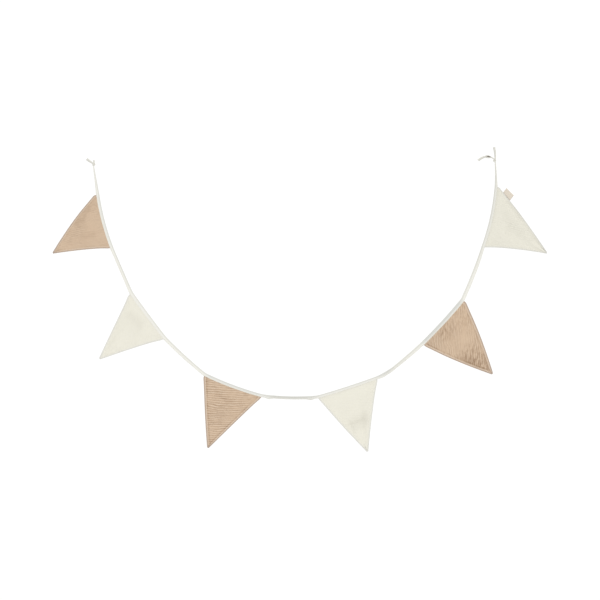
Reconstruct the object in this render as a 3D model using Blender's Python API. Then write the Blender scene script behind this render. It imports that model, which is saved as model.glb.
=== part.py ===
"""Fabric bunting, hung by its two ends: six double flags in one long folded tape.

Metres, +Z up, front towards -Y. The origin is the left knot, from which it hangs.
The tables give lengths in millimetres and angles in degrees.
"""

import math
from collections import namedtuple

import bmesh
import bpy
import numpy as np
from mathutils import Euler, Vector

MM = 0.001

# The tape: a strip folded lengthwise over the flags' top edges
TAPE_WIDTH = 12 * MM
TAPE_LAYER = 1.0 * MM
FOLD_ROUND = 0.7 * MM
SHUT_SLOT = 0.3 * MM
SLOT_OPENS_OVER = 6 * MM
TAPE_STEP = 10 * MM
TAIL_STEP = 4 * MM

# A flag: two layers, turned and stitched near the edge. The tape holds it straight as far as the held
# depth, and it hangs its own way from there.
FLAG_THICK = 1.2 * MM
FLAG_CLEAR = 0.3 * MM
SEAM_INSIDE = 3.5 * MM
HELD_DEPTH = 14 * MM
TIP_WIDTH = 5 * MM
FLAG_ROWS = 15
FLAG_MIDDLE_COLUMNS = 7

# From a flag's edge inwards: the distance, its most as a share of the half width, half the thickness
EdgeLine = namedtuple("EdgeLine", "name inset share half_thick")
EDGE_LINES = [
    EdgeLine("edge", 0 * MM, 0.0, 0.45 * MM),
    EdgeLine("roll", 1.8 * MM, 0.25, 0.75 * MM),
    EdgeLine("stitch", 4.5 * MM, 0.5, 0.45 * MM),
    EdgeLine("puff", 8.0 * MM, 0.75, 0.65 * MM),
]

# The label: a folded strip sewn into the edge of the last flag
LABEL_FROM_CORNER = 27 * MM
LABEL_LENGTH = 33 * MM
LABEL_OUT_TOP = 17.5 * MM
LABEL_OUT_BOTTOM = 21.5 * MM
LABEL_SWING = math.radians(5)
LABEL_THICK = 1.2 * MM

# A knot: a lump of the strip with one turn of it wrapped around
KNOT_HALF = Vector((4.2, 3.8, 5.0)) * MM
KNOT_TURN_RADIUS = 3.6 * MM
KNOT_TURN_THICK = 1.7 * MM

WALK_STEP = 1 * MM
BLEND_HALF = 12 * MM
ROLL_CLEAR = 10 * MM
ROLL_EASE = 25 * MM
FRONT = Vector((0, -1, 0))

# The tape's fold line from the left knot to the right one. Heading is the mean direction, turn how far
# it swings on the way, lean how far the strip's lower edge stands forward of straight down at the start,
# and roll what a twist adds to the lean, eased in and out clear of the stretch's ends. Each table ends
# in a row that gives the end's lean and width.
Stretch = namedtuple("Stretch", "name length heading turn lean roll width")
HANGING_TAPE = [
    Stretch("tie_left", 91, -79.5, -0.5, 68, 0, 7),
    Stretch("flag_1", 164, -75.2, 12.5, 37, 0, 12),
    Stretch("gap_1", 148, -66.5, 2.0, 34, 8, 12),
    Stretch("flag_2", 167, -53.3, 3.0, 25, 0, 12),
    Stretch("gap_2", 161, -42.5, 6.5, 27, 0, 12),
    Stretch("flag_3", 180, -20.5, 10.5, 36, 0, 12),
    Stretch("gap_3", 169, -1.3, 12.0, 42, -88, 12),
    Stretch("flag_4", 184, 18.0, 4.0, 46, 0, 12),
    Stretch("twist_4", 57, 30.4, 9.0, 44, -40, 12),
    Stretch("gap_4", 113, 41.0, 3.5, -38, 0, 12),
    Stretch("flag_5", 177, 47.5, 6.0, -16, 0, 12),
    Stretch("gap_5", 169, 68.5, 6.0, -12, 0, 12),
    Stretch("flag_6", 184, 77.7, 15.0, 40, 0, 12),
    Stretch("tie_right", 78, 90.1, 5.5, 46, 0, 12),
    Stretch("end", 0, 90.1, 0.0, 68, 0, 7),
]

# The free tails beyond each knot
TAILS = {
    "left_up": [
        Stretch("stub", 13, 97, 4, 66, 0, 7),
        Stretch("end", 0, 97, 0, 60, 0, 9),
    ],
    "left_side": [
        Stretch("out", 11, 156, 14, 68, 0, 7),
        Stretch("free", 16, 145, -10, 56, 0, 11),
        Stretch("end", 0, 140, 0, 52, 0, 12),
    ],
    "right_up": [
        Stretch("rise", 20, 94, 6, 66, 0, 7),
        Stretch("free", 20, 102, 10, 60, 0, 11),
        Stretch("end", 0, 106, 0, 56, 0, 12),
    ],
    "right_side": [
        Stretch("out", 14, 140, 40, 60, 0, 7),
        Stretch("over", 16, 180, 20, 48, 0, 12),
        Stretch("free", 22, 212, 24, 64, 0, 12),
        Stretch("end", 0, 222, 0, 52, 0, 12),
    ],
}
TAIL_START_IN_KNOT = 2 * MM

# Drop is from the fold to the tip along the flag, lean how far the tip stands forward of straight down,
# sag how far it slips along the seam under the cloth's weight, bow how far each side edge bulges, and
# curl and wave how far the cloth stands off flat.
WAVES_ACROSS = 1.9
WAVES_DOWN = 1.7
BOW_FULLNESS = 0.85
Flag = namedtuple("Flag", "name colour drop lean sag bow_first bow_last curl wave phase")
FLAGS = [
    Flag("flag_1", "tan", 214, 34, 53, 9.5, -3.0, 6.0, 2.2, 0.2),
    Flag("flag_2", "cream", 214, 22, 17, 1.0, -2.0, 5.0, 2.0, 0.9),
    Flag("flag_3", "tan", 214, 15, -5, 2.3, -0.5, 3.5, 2.4, 0.5),
    Flag("flag_4", "cream", 214, 16.5, -2.5, 2.8, -2.5, 4.5, 2.6, 0.1),
    Flag("flag_5", "tan", 222, 2, -13.5, 5.0, 6.0, -3.0, 1.8, 0.7),
    Flag("flag_6", "cream", 214, 25, -69, -4.0, 6.5, 4.5, 2.4, 0.4),
]

# Screen colours of the cloths, 0 to 255
COLOURS = {
    "tape": (236, 234, 224),
    "tan": (206, 181, 155),
    "cream": (234, 231, 219),
    "label": (222, 205, 186),
}
CLOTH_ROUGHNESS = 0.9


class Route:
    """A strip's fold line, walked in small steps through a table of stretches."""

    def __init__(self, stretches, start):
        ends = np.cumsum([0] + [row.length for row in stretches[:-1]]) * MM
        self.length = ends[-1]
        self.spans = {row.name: (a, b) for row, a, b in zip(stretches, ends, ends[1:])}
        self.steps = np.arange(0, self.length + WALK_STEP, WALK_STEP)
        row_at = np.clip(np.searchsorted(ends, self.steps, side="right") - 1, 0, len(ends) - 2)
        done, left = self.steps - ends[row_at], ends[row_at + 1] - self.steps
        columns = np.array([(row.heading, row.turn, row.roll) for row in stretches])[row_at]
        heading, turn, roll = columns.T
        self.heading = np.radians(self.smoothed(heading + turn * (done / (done + left) - 0.5)))
        from_end = np.minimum(done, left) - ROLL_CLEAR
        twist = roll * smooth_step(from_end / ROLL_EASE)
        lean = np.interp(self.steps, ends, [row.lean for row in stretches])
        self.lean = np.radians(self.smoothed(lean + twist))
        self.width = np.interp(self.steps, ends, [row.width * MM for row in stretches])
        walked = np.stack([np.cos(self.heading), 0 * self.heading, np.sin(self.heading)], axis=1)
        walked = np.concatenate([[[0, 0, 0]], np.cumsum(walked[:-1], axis=0)])
        self.points = np.array(start) + walked * WALK_STEP

    @staticmethod
    def smoothed(values):
        """Corners between stretches eased over the blend length."""
        half = round(BLEND_HALF / WALK_STEP)
        weights = np.hanning(2 * half + 1)
        padded = np.pad(values, half, mode="edge")
        return np.convolve(padded, weights / weights.sum(), mode="valid")

    def value(self, values, s):
        return float(np.interp(s, self.steps, values))

    def frame(self, s):
        """The fold's point at s, and the strip's directions: along, down its face, out of its front."""
        point = Vector([self.value(self.points[:, axis], s) for axis in range(3)])
        heading = self.value(self.heading, s)
        lean = self.value(self.lean, s)
        along = Vector((math.cos(heading), 0, math.sin(heading)))
        outward = Vector((math.sin(heading), 0, -math.cos(heading)))
        down = outward * math.cos(lean) + FRONT * math.sin(lean)
        return point, along, down, down.cross(along)


def smooth_step(x):
    x = np.clip(x, 0.0, 1.0)
    return x * x * (3 - 2 * x)


def linear(colour):
    """Screen colour to the linear values that a material takes."""
    shares = [value / 255 for value in colour]
    return [v / 12.92 if v <= 0.04045 else ((v + 0.055) / 1.055) ** 2.4 for v in shares]


def finished(name, mesh, colour):
    """An object of its own cloth, smooth but for its sharp edges."""
    material = bpy.data.materials.new(name)
    material.use_nodes = True
    shader = material.node_tree.nodes["Principled BSDF"]
    shader.inputs["Base Color"].default_value = (*linear(COLOURS[colour]), 1)
    shader.inputs["Roughness"].default_value = CLOTH_ROUGHNESS
    shader.inputs["Metallic"].default_value = 0
    mesh.materials.append(material)
    mesh.shade_smooth()
    mesh.set_sharp_from_angle(angle=math.radians(40))
    made = bpy.data.objects.new(name, mesh)
    bpy.context.scene.collection.objects.link(made)
    return made


def mesh_of(name, bm):
    bmesh.ops.recalc_face_normals(bm, faces=bm.faces)
    mesh = bpy.data.meshes.new(name)
    bm.to_mesh(mesh)
    bm.free()
    return mesh


def folded_section(width, slot):
    """The tape's cross-section as (down, front) pairs: two layers, joined by a fold at the top."""
    inside = slot / 2
    outside = inside + TAPE_LAYER
    return [
        (width, outside),
        (FOLD_ROUND, outside),
        (0, outside - FOLD_ROUND),
        (0, FOLD_ROUND - outside),
        (FOLD_ROUND, -outside),
        (width, -outside),
        (width, -inside),
        (TAPE_LAYER, -inside),
        (TAPE_LAYER, inside),
        (width, inside),
    ]


def slot_at(s, seams):
    """The slot is shut between the flags and opens around each flag's top edge."""
    open_slot = FLAG_THICK + 2 * FLAG_CLEAR
    away = min((max(first - s, s - last, 0) for first, last in seams), default=SLOT_OPENS_OVER)
    return open_slot + (SHUT_SLOT - open_slot) * smooth_step((away - MM) / (SLOT_OPENS_OVER - MM))


def strip_mesh(name, route, stations, seams):
    """The folded strip along its route, one section at each station, closed at both ends."""
    bm = bmesh.new()
    rings = []
    for s in stations:
        point, _, down, front = route.frame(s)
        section = folded_section(route.value(route.width, s), slot_at(s, seams))
        rings.append([bm.verts.new(point + down * d + front * f) for d, f in section])
    for here, there in zip(rings, rings[1:]):
        for i in range(len(here)):
            j = (i + 1) % len(here)
            bm.faces.new((here[i], here[j], there[j], there[i]))
    bm.faces.new(rings[0])
    bm.faces.new(rings[-1])
    return mesh_of(name, bm)


def evenly(first, last, step):
    count = max(1, round((last - first) / step))
    return [first + (last - first) * i / count for i in range(count + 1)]


def tape_stations(route):
    """Even steps along each stretch, with extra sections on both sides of each flag's corners."""
    stations = set()
    for name, (first, last) in route.spans.items():
        if name.startswith("flag"):
            first, last = first - MM, last + MM
            stations.update((first - SLOT_OPENS_OVER / 2, last + SLOT_OPENS_OVER / 2))
            stations.update((first + TAPE_STEP / 2, last - TAPE_STEP / 2))
        else:
            first = first + SLOT_OPENS_OVER if first > 0 else 0
            last = last - SLOT_OPENS_OVER if last < route.length else route.length
        stations.update(evenly(first, last, TAPE_STEP))
    return sorted(stations)


class FlagCloth:
    """One flag's middle surface: r runs from where the tape lets go to the tip, c along the seam."""

    def __init__(self, flag, route):
        self.flag = flag
        self.route = route
        first, last = route.spans[flag.name]
        self.middle = (first + last) / 2
        self.half_seam = (last - first) / 2
        self.along = route.frame(self.middle)[1]
        outward = self.along.cross(FRONT)
        down = outward * math.cos(math.radians(flag.lean)) + FRONT * math.sin(math.radians(flag.lean))
        self.front = down.cross(self.along)
        chord_middle = (route.frame(first)[0] + route.frame(last)[0]) / 2
        self.tip = chord_middle + down * flag.drop * MM + self.along * flag.sag * MM

    def seam_point(self, c, depth):
        point, _, down, _ = self.route.frame(self.middle + c * self.half_seam)
        return point + down * depth

    def relief(self, r, c):
        """How far the cloth stands off flat, none of it where the tape holds it."""
        flag = self.flag
        curl = flag.curl * (c * c - 0.35) * math.sin(math.pi * min(1.15 * r, 1.0)) ** 0.8
        across = math.sin(math.pi * (WAVES_ACROSS * c + 2 * flag.phase))
        downwards = math.cos(math.pi * (WAVES_DOWN * r + flag.phase))
        wave = flag.wave * across * downwards * (1 - 0.5 * r)
        return (curl + wave) * smooth_step(r / 0.3) * MM

    def point(self, r, c):
        flag = self.flag
        from_seam = self.seam_point(c, HELD_DEPTH) * (1 - r)
        to_tip = (self.tip + self.along * (c * TIP_WIDTH / 2)) * r
        bulge = 4 * r**BOW_FULLNESS * (1 - r**BOW_FULLNESS)
        bow = (flag.bow_last if c > 0 else flag.bow_first) * MM * bulge * c
        return from_seam + to_tip + self.along * bow + self.front * self.relief(r, c)

    def normal(self, r, c, reach=0.01):
        """Out of the flag's front."""
        low, high = max(r - reach, 0), min(r + reach, 1)
        left, right = max(c - reach, -1), min(c + reach, 1)
        down = self.point(high, c) - self.point(low, c)
        across = self.point(r, right) - self.point(r, left)
        return down.cross(across).normalized()

    def columns(self, r):
        """Seam shares and half thicknesses across one row: the edge's lines, the middle, the edge's lines."""
        half_width = self.half_seam * (1 - r) + TIP_WIDTH / 2 * r
        edge = [(1 - min(line.inset / half_width, line.share), line.half_thick) for line in EDGE_LINES]
        inner = edge[-1][0]
        count = FLAG_MIDDLE_COLUMNS
        middle = [(inner * (2 * (i + 1) / (count + 1) - 1), FLAG_THICK / 2) for i in range(count)]
        return [(-c, t) for c, t in edge] + middle + list(reversed(edge))

    def rows(self):
        """Points of the middle, normals and half thicknesses, row by row from inside the tape to the tip."""
        rows = []
        for depth in (SEAM_INSIDE, TAPE_WIDTH, HELD_DEPTH):
            row = []
            for c, _ in self.columns(0):
                front = self.route.frame(self.middle + c * self.half_seam)[3]
                row.append((self.seam_point(c, depth), front, FLAG_THICK / 2))
            rows.append(row)
        for i in range(1, FLAG_ROWS):
            r = i / (FLAG_ROWS - 1)
            rows.append([(self.point(r, c), self.normal(min(r, 0.97), c), t) for c, t in self.columns(r)])
        return rows


def sheet_mesh(name, rows):
    """A closed sheet: a front and a back off the middle surface, joined around the rim."""
    bm = bmesh.new()
    front = [[bm.verts.new(point + normal * half) for point, normal, half in row] for row in rows]
    back = [[bm.verts.new(point - normal * half) for point, normal, half in row] for row in rows]
    last_row, last_column = len(rows) - 1, len(rows[0]) - 1
    for i in range(last_row):
        for j in range(last_column):
            for side in (front, back):
                bm.faces.new((side[i][j], side[i + 1][j], side[i + 1][j + 1], side[i][j + 1]))
    rim = [(0, j) for j in range(last_column)]
    rim += [(i, last_column) for i in range(last_row)]
    rim += [(last_row, j) for j in range(last_column, 0, -1)]
    rim += [(i, 0) for i in range(last_row, 0, -1)]
    for (i, j), (k, m) in zip(rim, rim[1:] + rim[:1]):
        bm.faces.new((front[i][j], front[k][m], back[k][m], back[i][j]))
    return mesh_of(name, bm)


def knot_meshes(name, centre, tilt):
    """A small lump, and one turn of the strip around it."""
    lump = bmesh.new()
    bmesh.ops.create_uvsphere(lump, u_segments=10, v_segments=7, radius=1)
    bmesh.ops.scale(lump, vec=KNOT_HALF, verts=lump.verts)
    turn = bmesh.new()
    bmesh.ops.create_circle(turn, segments=6, radius=KNOT_TURN_THICK)
    bmesh.ops.rotate(turn, verts=turn.verts, matrix=Euler((math.radians(90), 0, 0)).to_matrix())
    bmesh.ops.translate(turn, verts=turn.verts, vec=Vector((KNOT_TURN_RADIUS, 0, 0)))
    bmesh.ops.spin(
        turn, geom=turn.verts[:] + turn.edges[:], axis=(0, 0, 1), cent=(0, 0, 0),
        angle=math.tau, steps=12, use_merge=True,
    )
    for bm in (lump, turn):
        bmesh.ops.rotate(bm, verts=bm.verts, matrix=Euler((0, math.radians(tilt), 0)).to_matrix())
        bmesh.ops.translate(bm, verts=bm.verts, vec=centre)
    return mesh_of(f"{name}_lump", lump), mesh_of(f"{name}_turn", turn)


def make_tape(route):
    """The hanging strip, with its knots and tails joined on, since they are the same strip of cloth."""
    seams = [route.spans[flag.name] for flag in FLAGS]
    tape = finished("tape", strip_mesh("tape", route, tape_stations(route), seams), "tape")
    left = route.frame(0)[0]
    right = route.frame(route.length)[0]
    joined = [*knot_meshes("knot_left", left, 24), *knot_meshes("knot_right", right, -20)]
    for side, knot in (("left", left), ("right", right)):
        for where in ("up", "side"):
            tail = Route(TAILS[f"{side}_{where}"], knot)
            stations = evenly(TAIL_START_IN_KNOT, tail.length, TAIL_STEP)
            joined.append(strip_mesh(f"tail_{side}_{where}", tail, stations, []))
    for mesh in joined:
        guide = bpy.data.objects.new(mesh.name, mesh)
        guide.hide_render = True
        guide.display_type = "WIRE"
        bpy.context.scene.collection.objects.link(guide)
        join = tape.modifiers.new(mesh.name, "BOOLEAN")
        join.operation = "UNION"
        join.solver = "EXACT"
        join.object = guide


def make_flags(route):
    cloths = [FlagCloth(flag, route) for flag in FLAGS]
    for cloth in cloths:
        finished(cloth.flag.name, sheet_mesh(cloth.flag.name, cloth.rows()), cloth.flag.colour)
    return cloths


def make_label(cloth):
    """The label stands out of the flag's later edge, in the flag's own plane."""
    edge_length = (cloth.tip - cloth.seam_point(1, HELD_DEPTH)).length
    rows = []
    for share in (0, 0.25, 0.5, 0.75, 1):
        r = (LABEL_FROM_CORNER + share * LABEL_LENGTH) / edge_length
        root = cloth.point(r, 1)
        run = (cloth.point(r + 0.01, 1) - root).normalized()
        normal = cloth.normal(r, 1)
        out = normal.cross(run)
        out = out if out.dot(cloth.along) > 0 else -out
        out = out * math.cos(LABEL_SWING) - run * math.sin(LABEL_SWING)
        reach = LABEL_OUT_TOP + (LABEL_OUT_BOTTOM - LABEL_OUT_TOP) * share
        row = []
        for step in (0, 0.33, 0.66, 0.94, 1):
            half = LABEL_THICK / 2 if step < 1 else LABEL_THICK / 4
            row.append((root + out * (FLAG_CLEAR + reach * step), normal, half))
        rows.append(row)
    finished("label", sheet_mesh("label", rows), "label")


for old in list(bpy.data.objects):
    bpy.data.objects.remove(old)

hanging = Route(HANGING_TAPE, (0, 0, 0))
make_tape(hanging)
made_flags = make_flags(hanging)
make_label(made_flags[-1])
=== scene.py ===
import math
from collections import namedtuple

import bmesh
import bpy
import numpy as np
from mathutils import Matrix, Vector


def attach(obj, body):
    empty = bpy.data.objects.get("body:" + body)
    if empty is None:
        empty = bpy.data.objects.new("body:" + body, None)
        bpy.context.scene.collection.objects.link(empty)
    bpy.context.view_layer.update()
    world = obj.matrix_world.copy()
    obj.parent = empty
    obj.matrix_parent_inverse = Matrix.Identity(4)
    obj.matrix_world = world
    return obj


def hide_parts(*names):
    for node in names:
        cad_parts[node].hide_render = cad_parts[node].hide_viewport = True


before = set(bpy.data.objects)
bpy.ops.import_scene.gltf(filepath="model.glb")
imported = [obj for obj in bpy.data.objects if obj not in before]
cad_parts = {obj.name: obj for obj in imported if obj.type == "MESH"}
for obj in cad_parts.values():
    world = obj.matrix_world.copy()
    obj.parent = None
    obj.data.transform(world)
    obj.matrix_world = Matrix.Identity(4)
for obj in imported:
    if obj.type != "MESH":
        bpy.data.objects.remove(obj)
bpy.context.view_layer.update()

# The hanging line. The bunting is held at its two knots and hangs in a curve, so this is the line that
# the tape's fold takes between them. It is nearly straight along each flag, whose sewn top stiffens it,
# and bends and twists in the bare stretches between.
MM = 0.001
WALK_STEP = 1 * MM
BLEND_HALF = 12 * MM
ROLL_CLEAR = 10 * MM
ROLL_EASE = 25 * MM
FORWARD = np.array([0.0, -1.0, 0.0])

# A stretch of the strip: heading is its mean direction, turn how far it swings on the way, lean how far the
# lower edge stands forward of straight down at the start, and roll what a twist adds to the lean, eased in
# and out clear of the stretch's ends. Each table ends in a row that gives the end's lean and width.
Stretch = namedtuple("Stretch", "name length heading turn lean roll width")
HANGING_TAPE = [
    Stretch("tie_left", 91, -79.5, -0.5, 68, 0, 7),
    Stretch("flag_1", 164, -75.2, 12.5, 37, 0, 12),
    Stretch("gap_1", 148, -66.5, 2.0, 34, 8, 12),
    Stretch("flag_2", 167, -53.3, 3.0, 25, 0, 12),
    Stretch("gap_2", 161, -42.5, 6.5, 27, 0, 12),
    Stretch("flag_3", 180, -20.5, 10.5, 36, 0, 12),
    Stretch("gap_3", 169, -1.3, 12.0, 42, -88, 12),
    Stretch("flag_4", 184, 18.0, 4.0, 46, 0, 12),
    Stretch("twist_4", 57, 30.4, 9.0, 44, -40, 12),
    Stretch("gap_4", 113, 41.0, 3.5, -38, 0, 12),
    Stretch("flag_5", 177, 47.5, 6.0, -16, 0, 12),
    Stretch("gap_5", 169, 68.5, 6.0, -12, 0, 12),
    Stretch("flag_6", 184, 77.7, 15.0, 40, 0, 12),
    Stretch("tie_right", 78, 90.1, 5.5, 46, 0, 12),
    Stretch("end", 0, 90.1, 0.0, 68, 0, 7),
]


def ease(x):
    x = np.clip(x, 0, 1)
    return x * x * (3 - 2 * x)


class FoldLine:
    """A strip's fold, walked in small steps through a table of stretches."""

    def __init__(self, stretches, start):
        ends = np.cumsum([0] + [row.length for row in stretches[:-1]]) * MM
        self.length = ends[-1]
        self.spans = {row.name: (a, b) for row, a, b in zip(stretches, ends, ends[1:])}
        self.steps = np.arange(0, self.length + WALK_STEP, WALK_STEP)
        row_at = np.clip(np.searchsorted(ends, self.steps, side="right") - 1, 0, len(ends) - 2)
        done, left = self.steps - ends[row_at], ends[row_at + 1] - self.steps
        heading, turn, roll = np.array([(row.heading, row.turn, row.roll) for row in stretches])[row_at].T
        self.heading = np.radians(self.eased(heading + turn * (done / (done + left) - 0.5)))
        twist = roll * ease((np.minimum(done, left) - ROLL_CLEAR) / ROLL_EASE)
        lean = np.interp(self.steps, ends, [row.lean for row in stretches])
        self.lean = np.radians(self.eased(lean + twist))
        self.width = np.interp(self.steps, ends, [row.width * MM for row in stretches])
        walked = np.stack([np.cos(self.heading), 0 * self.heading, np.sin(self.heading)], axis=1)
        walked = np.concatenate([[[0, 0, 0]], np.cumsum(walked[:-1], axis=0)])
        self.points = np.array(start) + walked * WALK_STEP

    @staticmethod
    def eased(values):
        """Corners between stretches smoothed over the blend length."""
        half = round(BLEND_HALF / WALK_STEP)
        weights = np.hanning(2 * half + 1)
        return np.convolve(np.pad(values, half, mode="edge"), weights / weights.sum(), mode="valid")

    def frames(self, s):
        """Points on the fold at s, and the directions: along the strip, down its face, out of its front."""
        point = np.stack([np.interp(s, self.steps, self.points[:, axis]) for axis in range(3)], axis=-1)
        heading = np.interp(s, self.steps, self.heading)
        lean = np.interp(s, self.steps, self.lean)[..., None]
        along = np.stack([np.cos(heading), 0 * heading, np.sin(heading)], axis=-1)
        outward = np.stack([np.sin(heading), 0 * heading, -np.cos(heading)], axis=-1)
        down = outward * np.cos(lean) + FORWARD * np.sin(lean)
        return point, along, down, np.cross(down, along)


hanging = FoldLine(HANGING_TAPE, (0, 0, 0))

# The flags. Each is two layers of crinkled double cotton, sewn face to face along the two long sides,
# turned out through the open top and topstitched near the edge. The raw top goes up into the tape.
# Tan and cream flags take turns. Under its own weight each outer one slips down towards its lower corner.
TAPE_WIDTH = 12 * MM
HELD_DEPTH = 14 * MM
SEAM_INSIDE = 3.5 * MM
TIP_WIDTH = 5 * MM
CORNER_TRIM = 0.8 * MM
FREE_WITHIN = 3 * MM
HELD_ROWS = 7
FLAG_ROW_STEP = 1.45 * MM
FLAG_MIDDLE_COLUMNS = 118
TIP_ROWS_FROM = 3 * MM
TIP_ROWS = np.array([2.6, 1.9, 1.3, 0.8, 0.4, 0.15, 0.0]) * MM
EDGE_SHARE = 0.8

# From the turned edge inwards: how thick the cloth lies on each side of its middle
EdgeLine = namedtuple("EdgeLine", "name inset half_thick")
FLAG_EDGE = [
    EdgeLine("rim", 0.0, 0.12),
    EdgeLine("turn", 0.25, 0.40),
    EdgeLine("turn", 0.6, 0.60),
    EdgeLine("roll", 1.1, 0.72),
    EdgeLine("roll", 1.8, 0.76),
    EdgeLine("allowance", 2.6, 0.74),
    EdgeLine("allowance", 3.4, 0.66),
    EdgeLine("allowance", 3.9, 0.54),
    EdgeLine("groove", 4.3, 0.36),
    EdgeLine("stitches", 4.6, 0.30),
    EdgeLine("groove", 4.9, 0.36),
    EdgeLine("puff", 5.4, 0.52),
    EdgeLine("puff", 6.2, 0.66),
    EdgeLine("puff", 7.2, 0.66),
    EdgeLine("cloth", 8.6, 0.58),
]
STITCH_LINE = [line.name for line in FLAG_EDGE].index("stitches")
STITCH_INSET = FLAG_EDGE[STITCH_LINE].inset
FLAG_FLAT_HALF = 0.35 * MM
LEAST_HALF_THICK = 0.1

# Drop is from the fold to the tip, lean how far the tip stands forward of straight down, sag how far it
# slips along the seam, bow how far each side edge bulges, curl and wave how far the cloth stands off
# flat, and phase where its waves start. Grain is the direction of the crinkle's lines from the seam,
# crinkle their height, and pitch how far apart they are.
Flag = namedtuple("Flag", "name cloth drop lean sag bow_first bow_last curl wave phase grain crinkle pitch")
FLAGS = [
    Flag("flag_1", "tan", 214, 34, 53, 9.5, -3.0, 6.0, 2.2, 0.2, -62, 0.55, 4.0),
    Flag("flag_2", "cream", 214, 22, 17, 1.0, -2.0, 5.0, 2.0, 0.9, 35, 0.35, 4.6),
    Flag("flag_3", "tan", 214, 15, -5, 2.3, -0.5, 3.5, 2.4, 0.5, -20, 1.10, 6.8),
    Flag("flag_4", "cream", 214, 16.5, -2.5, 2.8, -2.5, 4.5, 2.6, 0.1, 18, 0.35, 4.8),
    Flag("flag_5", "tan", 222, 2, -13.5, 5.0, 6.0, -3.0, 1.8, 0.7, -42, 0.98, 4.8),
    Flag("flag_6", "cream", 214, 25, -69, -4.0, 6.5, 4.5, 2.4, 0.4, 77, 0.35, 5.2),
]
FLAG_SEEDS_APART = 100
BACK_SEED_MORE = 10
WAVES_ACROSS = 1.9
WAVES_DOWN = 1.7
WAVE_FADE = 0.5
CURL_LEVEL = 0.35
CURL_REACH = 1.15
CURL_FULLNESS = 0.8
RELIEF_OVER = 0.3
BOW_FULLNESS = 0.85
STIFF_SHARE = 0.035

# Folds left by packing and handling, from one point of the flat flag to another: x along the seam from
# its middle, y down from the fold
Crease = namedtuple("Crease", "flag x0 y0 x1 y1 depth width")
CREASES = [
    Crease("flag_1", -60, 28, -18, 118, 1.0, 11),
    Crease("flag_1", 22, 34, 8, 112, 0.9, 12),
    Crease("flag_2", -56, 56, 26, 36, 1.4, 17),
    Crease("flag_2", 30, 38, 6, 92, 0.5, 12),
    Crease("flag_3", -52, 44, 34, 58, 1.0, 7),
    Crease("flag_3", -30, 138, 16, 122, 1.2, 6),
    Crease("flag_3", -22, 112, 26, 98, 0.9, 5),
    Crease("flag_4", -46, 120, 30, 112, 1.1, 4),
    Crease("flag_4", -26, 98, -16, 160, 0.9, 3),
    Crease("flag_4", -34, 128, 46, 104, 1.5, 22),
    Crease("flag_5", -44, 20, 6, 30, 1.0, 10),
    Crease("flag_5", -32, 110, -4, 190, 1.6, 13),
    Crease("flag_6", 68, 38, 36, 112, 0.8, 8),
    Crease("flag_6", -32, 60, 30, 76, 0.6, 6),
    Crease("flag_6", -20, 100, 14, 112, 0.5, 6),
]

# How far a fold strays from straight, the patches in which it strays, and how it fades at its ends and
# near the tape
CREASE_WAVER = 2.0
CREASE_PATCH = 11
CREASE_DRAW = 7
CREASE_FADE = 0.25
CREASE_CLEAR = 12 * MM

# The crinkle is rows of soft ridges, broken up by loose puffs. Both come from chance patches: how long and
# how wide one is, how much it counts for, and which draw it takes.
EVEN_PITCH = 5.0
EVEN_ROWS = 0.60
EVEN_PUFFS = 0.30
LEAST_CRINKLE = 0.05
MOST_ROWS = 1.3
MOST_PUFFS = 1.6
ROW_HEIGHT = 0.47
PUFF_HEIGHT = 0.38
Patches = namedtuple("Patches", "kind long wide weight draw")
CRINKLE_PATCHES = [
    Patches("waver", 42, 26, 2.6, 0),
    Patches("waver", 15, 11, 0.9, 1),
    Patches("rows", 30, 5.5, 0.35, 2),
    Patches("puffs", 26, 26, 0.15, 5),
    Patches("broken", 11, 3.6, 1.0, 3),
    Patches("broken", 4.2, 3.0, 0.5, 4),
]

# Along the sewn edges the crinkle is pressed flat, and the topstitching puckers the cloth a little
HEM_CRINKLE = 0.3
HEM_WITHIN = 3.0
RIM_WITHIN = 1.5
PUCKER = 0.22
PUCKER_LONG = 2.9 * MM
PUCKER_WIDE = 5
PUCKER_INSET = 3
PUCKER_REACH = 2.4
PUCKER_APART = 20
PUCKER_DRAW = 6

# Where the crinkle is stronger or calmer than elsewhere on the flag: x and y as for the creases, how far it
# reaches, what it adds to the strength of the rows and to that of the loose puffs
CrinkledArea = namedtuple("CrinkledArea", "flag x y reach rows puffs")
CRINKLED_AREAS = [
    CrinkledArea("flag_1", -49, 30, 28, 0.1, 0.6),
    CrinkledArea("flag_1", -28, 104, 44, 0.2, 0.6),
    CrinkledArea("flag_1", -26, 54, 22, -0.3, -0.4),
    CrinkledArea("flag_3", -12, 98, 44, 0.4, 0.2),
    CrinkledArea("flag_3", -56, 26, 30, 0.4, 0.1),
    CrinkledArea("flag_3", 66, 30, 26, -0.4, 0.2),
    CrinkledArea("flag_4", 8, 113, 36, 0.4, 0.3),
    CrinkledArea("flag_5", -62, 26, 22, 1.0, 0.0),
    CrinkledArea("flag_5", -14, 30, 24, -0.2, 1.3),
    CrinkledArea("flag_5", 34, 44, 30, -0.2, 0.5),
    CrinkledArea("flag_5", -14, 136, 30, 0.1, 1.3),
    CrinkledArea("flag_5", -6, 176, 28, 0.3, 1.3),
    CrinkledArea("flag_5", 4, 92, 26, -0.4, -0.2),
    CrinkledArea("flag_6", 7, 88, 30, 0.4, 0.1),
]


def patchy(x, y, seed):
    """Smooth chance heights from -1 to 1, in patches about one unit across."""
    size = 64
    lattice = np.random.default_rng(seed).uniform(-1, 1, (size, size))
    i, j = np.floor(x).astype(int), np.floor(y).astype(int)
    u, v = ease(x - i), ease(y - j)
    near = lattice[i % size, j % size] * (1 - u) + lattice[(i + 1) % size, j % size] * u
    far = lattice[i % size, (j + 1) % size] * (1 - u) + lattice[(i + 1) % size, (j + 1) % size] * u
    return near * (1 - v) + far * v


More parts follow.
